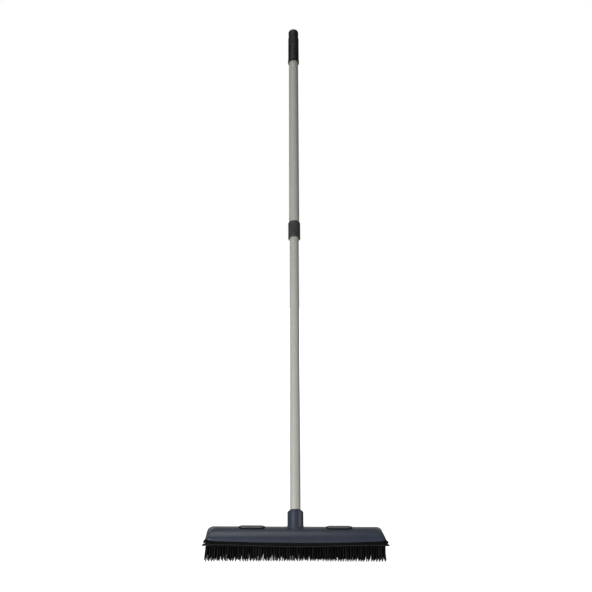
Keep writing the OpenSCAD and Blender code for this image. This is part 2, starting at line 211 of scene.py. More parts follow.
def shader(name, base, rough, grain, grain2=None, vary=0.12, vary_scale=35, rough_vary=0.08, specular=0.5,
           metallic=0.0, speck=None, island=0.0, streak=None, painted_edge_light=None):
    """A procedural surface: uneven colour and roughness, pale specks, and one or two scales of relief.

    grain, grain2: (scale, depth in metres) of the relief
    island: how much paler the palest separate part of the mesh is
    streak: (scale, shade) of fine rubbed marks that run along the pole
    painted_edge_light: (y where it starts, y where it is full, colour) of a lighter band along an edge, a
    painted highlight"""
    m = bpy.data.materials.new(name)
    m.use_nodes = True
    t = m.node_tree
    b = t.nodes["Principled BSDF"]
    b.inputs["Metallic"].default_value = metallic
    b.inputs["Specular IOR Level"].default_value = specular
    co = t.nodes.new("ShaderNodeTexCoord").outputs["Object"]

    def noise(scale, detail=3.0, roughness=0.55, vector=co):
        n = t.nodes.new("ShaderNodeTexNoise")
        n.inputs["Scale"].default_value = scale
        n.inputs["Detail"].default_value = detail
        n.inputs["Roughness"].default_value = roughness
        t.links.new(vector, n.inputs["Vector"])
        return n.outputs["Fac"]

    def spread(value, *limits):
        return map_range(t, value, *limits).outputs["Result"]

    def mix(under, over, amount):
        n = t.nodes.new("ShaderNodeMix")
        n.data_type = "RGBA"
        for socket, value in (("A", under), ("B", over)):
            s = [i for i in n.inputs if i.name == socket and i.type == "RGBA"][0]
            if isinstance(value, tuple):
                s.default_value = (*value, 1)
            else:
                t.links.new(value, s)
        t.links.new(amount, [i for i in n.inputs if i.name == "Factor" and i.type == "VALUE"][0])
        return [o for o in n.outputs if o.type == "RGBA"][0]

    uneven = spread(noise(vary_scale), 0.3, 0.7, 0, 1)
    colour = mix(times(base, 1 - vary), times(base, 1 + vary), uneven)
    specks = spread(noise(vary_scale * 28, 2), 0.60, 0.78, 0, 0.5)
    colour = mix(colour, speck or times(base, 1.6, 0.004), specks)
    if island:
        each = t.nodes.new("ShaderNodeNewGeometry").outputs["Random Per Island"]
        colour = mix(colour, times(base, 1 + island), spread(each, 0.45, 1, 0, 1))
    if streak:
        along = t.nodes.new("ShaderNodeMapping")
        along.inputs["Rotation"].default_value = (math.atan2(POLE[1], POLE[2]), 0, 0)
        along.inputs["Scale"].default_value = (1, 1, 0.012)
        t.links.new(co, along.inputs["Vector"])
        marks = noise(streak[0], 5, 0.7, along.outputs["Vector"])
        colour = mix(colour, times(base, streak[1]), spread(marks, 0.62, 0.74, 0, 0.55))
    # A lighter band over one range of y: a painted highlight along a lit edge
    if painted_edge_light:
        place = t.nodes.new("ShaderNodeSeparateXYZ")
        t.links.new(co, place.inputs[0])
        colour = mix(colour, painted_edge_light[2], spread(place.outputs["Y"], painted_edge_light[0], painted_edge_light[1], 0, 1))
    t.links.new(colour, b.inputs["Base Color"])
    roughness = spread(noise(vary_scale * 2.3, 4), 0.3, 0.7, rough - rough_vary, rough + rough_vary)
    t.links.new(roughness, b.inputs["Roughness"])
    normal = None
    for scale, depth in [g for g in (grain, grain2) if g]:
        bump = t.nodes.new("ShaderNodeBump")
        bump.inputs["Distance"].default_value = depth
        bump.inputs["Strength"].default_value = 1.0
        t.links.new(noise(scale, 2), bump.inputs["Height"])
        if normal:
            t.links.new(normal, bump.inputs["Normal"])
        normal = bump.outputs["Normal"]
    t.links.new(normal, b.inputs["Normal"])
    return m


SLATE = shader("slate_moulding", (0.032, 0.039, 0.057), 0.34, vary=0.10, vary_scale=22, rough_vary=0.05,
               grain=(2300, 0.000012), grain2=(120, 0.00004), specular=0.40)
BLACK = shader("black_moulding", (0.020, 0.021, 0.023), 0.45, grain=(1800, 0.00002))
RUBBER = shader("black_rubber", (0.0022, 0.0021, 0.0023), 0.65, vary=0.25, vary_scale=60,
                grain=(900, 0.00005), grain2=(4200, 0.00001), specular=0.12)
# The blade's lip is painted lighter along its front edge: a painted highlight where light from above catches
# the edge
BLADE = shader("blade_rubber", (0.0020, 0.0019, 0.0021), 0.65, vary=0.25, vary_scale=60,
               grain=(900, 0.00005), grain2=(4200, 0.00001), specular=0.10,
               painted_edge_light=(-0.0335, -0.0352, (0.034, 0.033, 0.033)))
# Two copies of one bristle rubber: the inner rows' very dark one is painted shade between the rows, the outer
# rows' paler one is painted light
BRISTLE = shader("bristle_rubber", (0.0003, 0.0003, 0.0003), 0.45, vary=0.25, vary_scale=90,
                 grain=(1500, 0.00003), specular=0.04, island=2.0)
PAINTED_LIT_BRISTLE = shader("outer_bristle_rubber", (0.0050, 0.0047, 0.0049), 0.40, vary=0.25, vary_scale=90,
               grain=(1500, 0.00003), specular=0.06, island=2.2)
OVAL = shader("oval_moulding", (0.085, 0.085, 0.087), 0.48, vary=0.1, vary_scale=50, grain=(2600, 0.00003))
# Rim round each oval: a real bead, whose near-black colour is also painted shade standing for the shadowed
# gap round the cover
RIM_AND_GAP_SHADE = shader("rim_rubber", (0.0025, 0.0024, 0.0028), 0.65, grain=(2000, 0.00002), specular=0.12)
CHARCOAL = shader("collar_moulding", (0.042, 0.042, 0.043), 0.45, vary_scale=60, grain=(2200, 0.00003))
GRIP = shader("grip_moulding", (0.0066, 0.0066, 0.0069), 0.48, vary=0.15, vary_scale=60,
              grain=(2400, 0.00005), specular=0.3)
PAINT = shader("tube_paint", (0.42, 0.42, 0.385), 0.42, vary=0.03, vary_scale=18, rough_vary=0.05,
               grain=(700, 0.00002), grain2=(3200, 0.00001), speck=(0.47, 0.47, 0.44), streak=(900, 0.82))
NATURAL = shader("natural_moulding", (0.66, 0.65, 0.60), 0.42, vary=0.05, grain=(1700, 0.00002))
RED = shader("red_moulding", (0.50, 0.05, 0.035), 0.40, vary=0.08, grain=(1700, 0.00002))
ZINC = shader("zinc_plate", (0.62, 0.62, 0.60), 0.32, vary=0.08, metallic=1.0, grain=(1500, 0.00001))

NODE_LOOKS = {"carrier_plate": BLACK, "rubber_mat": RUBBER, "squeegee": RUBBER, "housing": SLATE,
              "oval_plug_left": OVAL, "oval_plug_right": OVAL, "plug_seals": RIM_AND_GAP_SHADE, "cover_screws": ZINC,
              "pole_tip": BLACK, "lower_tube": PAINT, "lock_spindle": NATURAL, "lock_stop": ZINC,
              "lock_expander": RED, "lock_cone": NATURAL, "collar": CHARCOAL, "guide_bush": NATURAL,
              "upper_tube": PAINT, "grip": GRIP, "hanging_cap": GRIP}
# The nodes that have no look of their own here are the bristle rows
for node, ob in frame["nodes"].items():
    ob.data.materials.clear()
    ob.data.materials.append(NODE_LOOKS.get(node, BRISTLE))

# ---------------------------------------------------------------- the head's form
# The arcs that the head is cut from, in millimetres, as the CAD head has them
MAT_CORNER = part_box("rubber_mat")[1] / MM
HALF_W, HALF_D = MAT_CORNER.x, MAT_CORNER.y
CROWN_Z, CROWN_R, SHOULDER_R, END_R, END_Z, CORNER_R = 51.3, 46.0, 14.0, 28.0, 26.0, 12.0
SHOULDER_OUT, END_OUT = 1.2, 2.2           # how far past the plan those two arcs would reach
SHELL_T = 2.2
CROWN_C = CROWN_Z - CROWN_R
SHOULDER_Y = HALF_D + SHOULDER_OUT - SHOULDER_R
SHOULDER_Z = CROWN_C + math.sqrt((CROWN_R - SHOULDER_R) ** 2 - SHOULDER_Y ** 2)
END_X = HALF_W + END_OUT - END_R
SKIRT_Z, SKIRT_RISE = 32.0, 3.8
SKIRT_R = (HALF_W ** 2 + SKIRT_RISE ** 2) / (2 * SKIRT_RISE)
CREASE = 2.0                     # how softly the end shoulders run into the long ones
SPINE = HALF_W - HALF_D          # the top closes on a line this far each way from the middle


def head_top(x, y, inset=0.0):
    """Height of the head's arched top over a point of its plan."""
    x, y = np.abs(x), np.abs(y)
    crown, shoulder, end = CROWN_R - inset, SHOULDER_R - inset, END_R - inset
    tangent_y = crown * SHOULDER_Y / (CROWN_R - SHOULDER_R)
    across = np.where(y < tangent_y, CROWN_C + np.sqrt(np.maximum(crown ** 2 - y ** 2, 0)),
                      SHOULDER_Z + np.sqrt(np.maximum(shoulder ** 2 - (y - SHOULDER_Y) ** 2, 0)))
    along = END_Z + np.sqrt(np.maximum(end ** 2 - np.maximum(x - END_X, 0) ** 2, 0))
    blend = np.maximum(CREASE - np.abs(across - along), 0)
    return np.minimum(across, along) - blend ** 2 / (4 * CREASE)


def skirt_edge(x):
    """Height of the skirt's lower edge, which rises in an arc towards the ends."""
    return SKIRT_Z + SKIRT_R - np.sqrt(SKIRT_R ** 2 - np.asarray(x) ** 2)


def plan(inset, side=78, corner=26, end=16):
    """The head's outline moved inwards, anticlockwise from the middle of the right end."""
    r = CORNER_R - inset
    cx, cy = HALF_W - CORNER_R, HALF_D - CORNER_R
    quarter = [(HALF_W - inset, cy * k / end) for k in range(end)]
    quarter += [(cx + r * math.cos(a), cy + r * math.sin(a))
                for a in (math.pi / 2 * k / corner for k in range(corner))]
    quarter += [(cx * (1 - k / side), HALF_D - inset) for k in range(side)]
    q = np.array(quarter)
    left = np.column_stack([-q[:0:-1, 0], q[:0:-1, 1]])
    top = np.vstack([q, [(0, HALF_D - inset)], left, [(inset - HALF_W, 0)]])
    return np.vstack([top, (top * (1, -1))[-2:0:-1]])


def to_spine(p):
    """The points of the spine that the points of an outline are drawn in to."""
    return np.column_stack([np.clip(p[:, 0], -SPINE, SPINE), np.zeros(len(p))])


def shell_rows(inset, lift, count, wall=3):
    """Rings of points over the head's top, from just above the skirt's edge in to the spine."""
    p = plan(inset)
    q = to_spine(p)

    def at(t):
        xy = p + (q - p) * t[:, None]
        return xy, head_top(xy[:, 0], xy[:, 1], inset)

    def too_low(t):
        xy, z = at(t)
        return z < skirt_edge(xy[:, 0]) + lift

    none = np.zeros(len(p))
    start = np.where(too_low(none), search(none, np.full(len(p), 0.3), too_low), 0)
    base, top = at(start)
    # A short upright wall, then the top, with its rings closer together near the edge
    foot = np.minimum(skirt_edge(base[:, 0]) + lift, top)
    rows = [np.column_stack([base, foot + (top - foot) * k / wall]) for k in range(wall)]
    for k in range(count + 1):
        u = k / count
        xy, z = at(start + (1 - start) * (0.5 * u + 0.5 * u * u))
        rows.append(np.column_stack([xy, z]))
    return rows


# ---------------------------------------------------------------- housing
OVAL_X = (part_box("oval_plug_right")[0].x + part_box("oval_plug_right")[1].x) / 2 / MM
OVAL_L, OVAL_W, POCKET_Z = 47.0, 18.0, 46.8
SEAL_W, SEAL_PROUD, PLUG_PROUD = 1.8, 1.5, 2.3
PLAY = 0.05                      # small parts stop this short of the faces they sit against
TUB_LOW, TUB_TOP = 44.2, 49.6    # the solid that each pocket is cut into
SCREW_R, SCREW_HEAD_R = 1.8, 3.8
SOCKET_LOW, SOCKET_TOP, SOCKET_R, TUBE_BORE_R = 13.0, 52.0, 14.5, 9.6


def stadium(length, width, inset=0.0, arc=20, straight=22):
    """A long round-ended outline about the origin, moved inwards."""
    r, half = width / 2 - inset, (length - width) / 2
    angles = [math.pi * (k / arc - 0.5) for k in range(arc)]
    right = [(half + r * math.cos(a), r * math.sin(a)) for a in angles]
    top = [(half - 2 * half * k / straight, r) for k in range(straight)]
    p = np.array(right + top)
    return np.vstack([p, -p])


def circle(r, arc):
    """A stadium that is all but round."""
    return stadium(2 * r + 0.01, 2 * r, arc=arc, straight=1)


def prism(outline, x, low, high):
    """A solid with straight sides between two levels, its outline moved by x."""
    ring = outline + (x, 0)
    return rings([np.column_stack([ring, np.full(len(ring), z)]) for z in (low, high)], caps=True)


def both(shape_at):
    """The same shape at the left and at the right oval."""
    return merged([shape_at(-OVAL_X), shape_at(OVAL_X)])


def socket():
    """The pole socket with its chamfered mouth, flared where it grows out of the crown."""
    flare, segs = 2.8, 112
    stop_r, stop_s = 8.35, 41.5      # the narrower bore below the tube, and where it begins
    a = 2 * math.pi * np.arange(segs) / segs
    out = np.outer(np.cos(a), SIDE) + np.outer(np.sin(a), BACK)

    def on_wall(station):
        return FOOT + out * SOCKET_R + np.outer(station, POLE)

    def under_crown(station):
        p = on_wall(station)
        return p[:, 2] < head_top(p[:, 0], p[:, 1])

    meet = on_wall(search(np.zeros(segs), np.full(segs, SOCKET_TOP - 2), under_crown))
    near = meet + POLE * flare
    flat = out[:, :2] / np.linalg.norm(out[:, :2], axis=1)[:, None]
    far_xy = meet[:, :2] + flat * flare
    far = np.column_stack([far_xy, head_top(far_xy[:, 0], far_xy[:, 1]) - 0.2])
    mouth = [(TUBE_BORE_R, 51.5), (TUBE_BORE_R + 0.12, 51.85), (TUBE_BORE_R + 0.4, SOCKET_TOP),
             (10.6, SOCKET_TOP), (11.0, 51.88), (14.2, 48.72), (14.42, 48.4)]
    rows = turned(mouth + [(SOCKET_R, s) for s in (48, 44, 40, 36)], segs)
    rows += [near * (1 - t) ** 2 + meet * 2 * t * (1 - t) + far * t * t for t in (k / 7 for k in range(8))]
    rows += [far - (0, 0, 1.0), meet - POLE * 2.2]
    foot = [(SOCKET_R, SOCKET_LOW), (stop_r, SOCKET_LOW), (stop_r, stop_s), (TUBE_BORE_R, stop_s)]
    rows += turned(foot, segs)
    return rings(rows, closed=True)


def housing():
    """The arched shell with its rounded lip, the pockets and screw holes of the ovals, and the socket."""
    lip = 0.7
    outer, inner = shell_rows(0, lip, 40), shell_rows(SHELL_T, 0.2, 20)
    inward = plan(1) - plan(0)
    foot, edge = outer[0], skirt_edge(outer[0][:, 0])
    under = [np.column_stack([foot[:, :2] + inward * lip * (1 - math.sin(a)),
                              edge + lip * (1 - math.cos(a))])
             for a in (math.pi / 8 * k for k in range(4))]
    inner_edge = np.column_stack([inner[0][:, :2] - inward * 0.2, skirt_edge(inner[0][:, 0])])
    ob = make("housing_shell", rings(inner[::-1] + [inner_edge] + under + outer))
    tub = stadium(OVAL_L + 2 * SHELL_T, OVAL_W + 2 * SHELL_T)
    cut(ob, make("tubs", both(lambda x: prism(tub, x, TUB_LOW, TUB_TOP))), "UNION")
    cut(ob, make("screw_holes", both(lambda x: prism(circle(SCREW_R, 12), x, 43, 48))))
    cut(ob, make("pockets", both(lambda x: prism(stadium(OVAL_L, OVAL_W), x, POCKET_Z, 60))))
    cut(ob, make("bore", rings(turned([(TUBE_BORE_R + 1, 15), (TUBE_BORE_R + 1, 70)], 64), caps=True)))
    cut(ob, make("socket", socket()), "UNION", sharp=40)
    ob.data.materials.clear()
    ob.data.materials.append(SLATE)
    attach(ob, "lower")
    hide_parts("housing")


def crown(y, proud):
    """Height of a face that stands proud of the crown by a little."""
    return CROWN_C + proud + np.sqrt(CROWN_R ** 2 - y ** 2)


def oval_ring(l, w, inset, x, height):
    """A ring at the inset of a stadium. height gives its level, or its level from each point's y."""
    p = stadium(l, w, inset)
    z = height(p[:, 1]) if callable(height) else np.full(len(p), height)
    return np.column_stack([p + (x, 0), z])


def plug(x):
    """An oval cover that follows the crown, with a rounded rim and a shallow groove just inside it."""
    edge, chamfer = 0.9, 0.3
    groove = ((1.6, 0), (1.8, 0.06), (1.95, 0.28), (2.25, 0.28), (2.4, 0.06), (2.6, 0))
    floor = POCKET_Z + PLAY
    l, w = OVAL_L - 2 * SEAL_W - 2 * PLAY, OVAL_W - 2 * SEAL_W - 2 * PLAY
    middle = w / 2 - 1e-4

    def ring(inset, drop):
        return oval_ring(l, w, inset, x, lambda y: crown(y, PLUG_PROUD) - drop)

    rows = [oval_ring(l, w, inset, x, z)
            for inset, z in ((middle, floor), (chamfer, floor), (0, floor + chamfer))]
    rows += [ring(edge * (1 - math.cos(a)), edge * (1 - math.sin(a)))
             for a in (math.pi / 10 * k for k in range(6))]
    rows += [ring(inset, drop) for inset, drop in groove]
    rows += [ring(inset, 0) for inset in even(3.2, middle, 0.75)]
    return rings(rows)


def plugs():
    """The two covers, each with a recess below for the head of its screw."""
    for name, x in (("oval_plug_left", -OVAL_X), ("oval_plug_right", OVAL_X)):
        ob = make(name + "_cover", plug(x), "lower", OVAL, [name], sharp=50)
        cut(ob, make("recess", prism(circle(SCREW_HEAD_R, 16), x, 46, 49.5)), sharp=50)


def seal(x):
    """The rim round an oval, its two upper edges rounded."""
    l, w, width, r = OVAL_L - 2 * PLAY, OVAL_W - 2 * PLAY, SEAL_W - PLAY, 0.42
    edge = [(r * (1 - math.cos(a)), r * (1 - math.sin(a))) for a in (math.pi / 8 * k for k in range(5))]

    def ring(inset, drop):
        return oval_ring(l, w, inset, x, lambda y: crown(y, SEAL_PROUD) - drop)

    rows = [oval_ring(l, w, 0, x, POCKET_Z + PLAY)]
    rows += [ring(inset, drop) for inset, drop in edge]
    rows += [ring(width - inset, drop) for inset, drop in edge[::-1]]
    rows += [oval_ring(l, w, width, x, POCKET_Z + PLAY)]
    return rings(rows, closed=True)


# ---------------------------------------------------------------- rubber mat, squeegee and bristles
MAT_Z, MAT_INSET, MAT_WALL, RIB_PITCH = 26.0, 2.4, 2.2, 2.25


def rubber_mat():
    """A tray with a thin lip all round. Its wall is ribbed and stands inside the skirt."""
    rib_depth, roof, floor, lip_top, lip_r = 0.32, 36.0, 28.0, 27.2, 0.45
    fine = {"side": 328, "corner": 38, "end": 44}      # enough points for the ribs
    base = plan(MAT_INSET, **fine)
    step = np.linalg.norm(np.roll(base, -1, axis=0) - base, axis=1)
    along = np.cumsum(step) - step[0]
    pitch = step.sum() / round(step.sum() / RIB_PITCH)
    rib = rib_depth * (0.5 - 0.5 * np.cos(2 * math.pi * along / pitch))
    inward = plan(MAT_INSET + 1, **fine) - base

    def ring(inset, z, ribbed=0.0):
        """A ring at the level z, or just below the housing where z is None."""
        p = plan(inset, **fine) + inward * (rib * ribbed)[:, None]
        if z is None:
            end = END_R - MAT_INSET
            over = np.maximum(np.abs(p[:, 0]) - END_X, 0)
            z = np.minimum(roof, END_Z - 0.1 + np.sqrt(np.maximum(end ** 2 - over ** 2, 0)))
        return np.column_stack([p, np.broadcast_to(z, len(p))])

    def spine(z):
        return np.column_stack([to_spine(base), np.full(len(base), z)])

    inner = MAT_INSET + MAT_WALL
    wall_top, wall_in = ring(MAT_INSET + 0.3, None), ring(inner - 0.3, None)
    rows = [spine(floor), ring(inner + 0.5, floor), ring(inner, floor + 0.4),
            ring(inner, wall_in[:, 2] - 0.3), wall_in,
            wall_top, ring(MAT_INSET, wall_top[:, 2] - 0.35, 1.0),
            ring(MAT_INSET, 27.9, 1.0), ring(MAT_INSET, 27.5, 0.4), ring(MAT_INSET - 0.25, lip_top)]
    edge = [(lip_r * (1 - math.cos(a)), lip_r * (1 - math.sin(a))) for a in (0, math.pi / 4, math.pi / 2)]
    rows += [ring(inset, lip_top - drop) for inset, drop in edge[::-1]]
    rows += [ring(inset, MAT_Z + drop) for inset, drop in edge]
    rows += [ring(6, MAT_Z), spine(MAT_Z)]
    make("rubber_mat_tray", rings(rows), "lower", RUBBER, ["rubber_mat"])


def squeegee():
    """A thin wavy blade held under the skirt. It rises towards its ends, which droop past the housing."""
    tip = -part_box("squeegee")[0].x / MM
    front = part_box("squeegee")[0].y / MM
    back, straight = MAT_INSET - HALF_D - 0.05, HALF_W - CORNER_R
    blade_z, foot_z, head_z = 26.7, 27.35, 31.65
    rise, rise_over, ripple, droop_left, droop_right = 3.1, 140, 0.40, 2.1, 1.1
    waves = [(rng.uniform(14, 60), rng.uniform(0, 2 * math.pi), rng.uniform(0.3, 1.0)) for _ in range(9)]

    def wave(x, shift=0.0):
        total = sum(a * math.sin(2 * math.pi * x / length + phase + shift) for length, phase, a in waves)
        return total / len(waves)

    def section(x):
        past = smooth((abs(x) - straight) / 3)
        end = max(0.0, (abs(x) - straight - 3) / (tip - straight - 3))
        droop = (droop_left if x < 0 else droop_right) * end
        up = rise * smooth(abs(x) / rise_over) + ripple * wave(x) - droop
        thick = 0.34 + 0.30 * end
        z, low, high = blade_z + up, foot_z + up * 0.5, head_z + up * 0.42 - end ** 2 * 2.2
        rear = back - past * 1.9 - end ** 3 * 1.6
        lip = front + 0.12 + 0.12 * wave(x, 1.0) + end ** 6 * 1.2
        wall = -HALF_D + 0.75 + 0.28 * math.cos(2 * math.pi * x / RIB_PITCH) * (1 - past) - 1.3 * past
        return [(rear, low), (min(rear - 0.9, -HALF_D - 0.06), low), (-HALF_D - 0.1, z - 0.1),
                (-HALF_D - 0.4, z - 0.3), (lip + 0.35, z - thick), (lip + 0.1, z - 0.65 * thick), (lip, z),
                (lip + 0.1, z + 0.65 * thick), (lip + 0.4, z + thick), (wall - 0.7, z + thick + 0.18),
                (wall - 0.2, z + thick + 0.38), (wall, z + thick + 0.81), (wall, high - 0.5),
                (wall + 0.2, high - 0.12), (wall + 0.6, high), (rear, high)]

    sections = [np.array([(x, y, z) for y, z in section(x)]) for x in even(-tip, tip, 0.45)]
    shape = merged([rings(sections, caps=True), ear(-1, tip), ear(1, tip)])
    make("squeegee_blade", shape, "lower", BLADE, ["squeegee"], sharp=50)


def ear(side, tip):
    """The lug above each end of the blade, with the web that joins it to the blade."""
    straight, front, back = HALF_W - CORNER_R, -HALF_D - 0.5, MAT_INSET - HALF_D
    outline = [(straight, back, 0.3), (straight, front, 0.3), (straight + 9, front, 1.5),
               (tip - 1.2, -HALF_D - 0.1, 1.0), (HALF_W + 0.55, 18 - HALF_D, 0.8),
               (HALF_W - MAT_INSET, 19 - HALF_D, 0.3), (HALF_W - 3.4, 15 - HALF_D, 2),
               (HALF_W - 8.0, 4 - HALF_D, 3)]
    p = np.array(rounded(outline, 5))
    centre = p.mean(axis=0)

    def ring(z, shrink):
        d = centre - p
        q = p + d / np.linalg.norm(d, axis=1)[:, None] * shrink
        return np.column_stack([q[:, 0] * side, q[:, 1], np.full(len(q), z)])

    lug = rings([ring(z, shrink) for z, shrink in ((31.65, 0.45), (31.8, 0.12), (32.1, 0), (34.35, 0),
                                                   (34.65, 0.12), (34.78, 0.45))], caps=True)
    web = []
    for z, grow in ((28.6, 0), (29.5, 0), (32.9, 0.05), (34.6, 0)):
        x0, x1 = (straight + 0.4) * side, (HALF_W - 2.2) * side
        y0, y1 = -HALF_D - 0.45 - grow, -HALF_D + 0.55
        web.append(np.array([(x0, y0, z), (x1, y0 + 0.5, z), (x1, y1, z), (x0, y1, z)]))
    return merged([lug, rings(web, caps=True)])


class Sway:
    """How far the tip of a bristle is pushed over by its neighbours.

    Bristles lean together in clumps that reach across the rows. A clump's two edges are lines that slant a
    little and wander from row to row."""

    REACH, NARROW_FROM, OUTER_FROM = 160.0, 120.0, 118.0

    def __init__(self):
        starts, x = [-self.REACH - 10], -self.REACH
        while x < self.REACH:
            starts.append(x)
            x += rng.uniform(6, 10) if abs(x) > self.NARROW_FROM else rng.uniform(7, 16)
        starts += [x, x + 10]
        # (start, slant, phase, strength) of each clump
        self.clumps = [(e, rng.uniform(-0.05, 0.05) + 0.0007 * e * smooth((abs(e) - 125) / 10),
                        rng.uniform(0, 2 * math.pi), rng.uniform(0.3, 1.0)) for e in starts]

    def at(self, x, y):
        """(across, front to back) for the bristle that stands at x, y."""
        edges = [e + slant * y + 0.9 * math.sin(y / 9 + phase) for e, slant, phase, _ in self.clumps]
        k = max(i for i, edge in enumerate(edges) if edge <= x or i == 0)
        middle = (edges[k] + edges[min(k + 1, len(edges) - 1)]) / 2
        _, _, phase, strength = self.clumps[k]
        end = smooth((abs(x) - self.OUTER_FROM) / 25)
        outer = 0.25 + 0.75 * max(end, smooth((abs(y) - 6) / 16))
        pull = (0.02 + 0.08 * strength ** 2 + 0.04 * end) * outer
        return (middle - x) * pull + 0.6 * math.sin(y / 13 + phase), 0.6 * math.sin(phase + x / 9)


def bristle(x, y, lean_x, lean_y, tip_z, sides=9):
    """One tapered rubber bristle with a swollen root and a rounded tip, bent over towards its tip."""
    root_z, root_r, tip_r = MAT_Z - 1.2, 1.3, 1.02
    stations = ((0, 1.22), (0.04, 1), (0.2, 1), (0.4, 1), (0.6, 1), (0.78, 1), (0.95, 1),
                (0.985, 0.94), (1, 0.7))       # (share of the length, swelling)
    kink_x, kink_y = rng.gauss(0, 0.25), rng.gauss(0, 0.22)
    spin = rng.uniform(0, math.pi)
    angles = [spin + 2 * math.pi * k / sides for k in range(sides)]
    rows = []
    for t, swell in stations:
        bend, arch = t ** 1.7, math.sin(math.pi * t)
        r = (root_r + (tip_r - root_r) * t) * swell
        cx, cy = x + lean_x * bend + kink_x * arch, y + lean_y * bend + kink_y * arch
        z = root_z + (tip_z - root_z) * t
        rows.append(np.array([(cx + r * math.cos(a), cy + r * math.sin(a), z) for a in angles]))
    return rings(rows, caps=True)


def strip(y, half):
    """The moulded strip that a row of bristles stands on. Its ends follow the head's corners."""
    def reach(v):
        into = max(abs(v) - (HALF_D - CORNER_R), 0)
        return HALF_W - CORNER_R + math.sqrt((CORNER_R - 0.5) ** 2 - into ** 2)

    rows = []
    for z, inset in ((MAT_Z, 0), (MAT_Z - 1.0, 0), (MAT_Z - 1.35, 0.12), (MAT_Z - 1.55, 0.5)):
        a, b = y - half + inset, y + half - inset
        ends = [(reach(v) - inset, v) for v in (a, (a + b) / 2, b)]
        p = ends + [(-u, v) for u, v in ends[::-1]]
        rows.append(np.array([(u, v, z) for u, v in p]))
    return rings(rows[::-1], caps=True)


def roots_of(node):
    """Where the bristles of a CAD row stand along X, from the points of their tips on the floor."""
    points = np.array([v.co[:] for v in frame["nodes"][node].data.vertices]) / MM
    xs = np.sort(points[points[:, 2] < 0.01, 0])
    return [group.mean() for group in np.split(xs, np.where(np.diff(xs) > 1)[0] + 1)]


def bristle_rows():
    """The rows of bristles, each on its strip. The outer rows lean outwards. They are painted paler as
    painted light, and the inner rows darker as painted shade between the rows.
    """
    outwards = (5.0, 2.6, 1.1, 0.3, 0, 0)      # from the outermost row to the middle one
    splay_from, splay_over, splay_max = 125, 32, 2.4
    uneven, worn_share, worn_by = 0.16, 0.05, (1.0, 3.5)
    x_limit, z_limit = 161.6, 6.0
    sway = Sway()
    names = sorted((n for n in frame["nodes"] if n.startswith("bristle_row_")),
                   key=lambda n: int(n.split("_")[-1]))
    for i, name in enumerate(names):
        low, high = (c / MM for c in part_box(name))
        y = (low.y + high.y) / 2
        from_edge = min(i, len(names) - 1 - i)
        lean_out = outwards[from_edge] * (-1 if i < len(names) / 2 else 1)
        shapes = [strip(y, (high.y - low.y) / 2)]
        for x in roots_of(name):
            dx, dy = sway.at(x, y)
            splay = max(0.0, abs(x) - splay_from) / splay_over
            dx += rng.gauss(0, 0.38) + math.copysign(splay_max * splay ** 2, x)
            dy += rng.gauss(0, 0.4) + lean_out
            short = rng.expovariate(1 / uneven) + (rng.uniform(*worn_by) if rng.random() < worn_share else 0)
            # A tip rises as it leans over
            tip_z = min(z_limit, 0.02 + 0.005 * (dx * dx + dy * dy) + short)
            dx = max(-x_limit - x, min(x_limit - x, dx))
            shapes.append(bristle(x, y, dx, dy, tip_z))
        # The outer rows take the paler copy as painted light, the inner rows the darker copy as painted shade
        make(name.replace("row", "strip"), merged(shapes), "lower", BRISTLE if from_edge else PAINTED_LIT_BRISTLE,
             [name], sharp=60)


# ---------------------------------------------------------------- pole
def tube(name, node, body):
    """A tube with rounded rims. Rings every few centimetres keep its long faces well shaped."""
    ring_pitch, segs = 45, 96
    low, high, r_in, r_out = span(node)
    outline = rounded([(r_in, low, 0.15), (r_out, low, 0.25), (r_out, high, 0.25), (r_in, high, 0.15)], 3)
    profile = []
    for (r0, s0), (r1, s1) in zip(outline, outline[1:] + outline[:1]):
        n = max(1, round(abs(s1 - s0) / ring_pitch))
        profile += [(r0 + (r1 - r0) * k / n, s0 + (s1 - s0) * k / n) for k in range(n)]
    make(name, rings(turned(profile, segs), closed=True), body, PAINT, [node])


def collar():
    """The fluted collar. Below its step it is narrow enough to guide the lower tube."""
    low, high, _, outer = span("collar")
    bore, tube_r, step = 9.65, 11.05, low + 2.6
    shaft, ribs, ridge = outer - 0.52, 28, 0.42
    start, stop = low + 4.5, high - 5.9        # of the fluted part
    outline = rounded([(bore, low, 0.3), (outer, low, 0.9), (outer, low + 4, 0.35),
                       (shaft, low + 4.4, 0.15)], 4)
    outline += [(shaft, s) for s in (start + 0.4, start + 0.9, start + 1.4, (start + stop) / 2,
                                     stop - 1.4, stop - 0.9, stop - 0.4)]
    outline += rounded([(shaft, high - 5.8, 0.15), (outer, high - 5.4, 0.35), (outer, high - 2.4, 0.6),
                        (outer - 1.4, high, 0.4), (tube_r, high, 0.2), (tube_r, step, 0), (bore, step, 0)], 4)

    def ribbed(a, r, s):
        if abs(r - shaft) > 0.01 or not start <= s <= stop:
            return r
        window = smooth((s - start) / 1.2) * smooth((stop - s) / 1.2)
        return r + ridge * window * (0.5 + 0.5 * math.cos(ribs * a)) ** 0.7

    make("collar_sleeve", rings(turned(outline, ribs * 10, ribbed), closed=True), "upper", CHARCOAL,
         ["collar"], sharp=50)


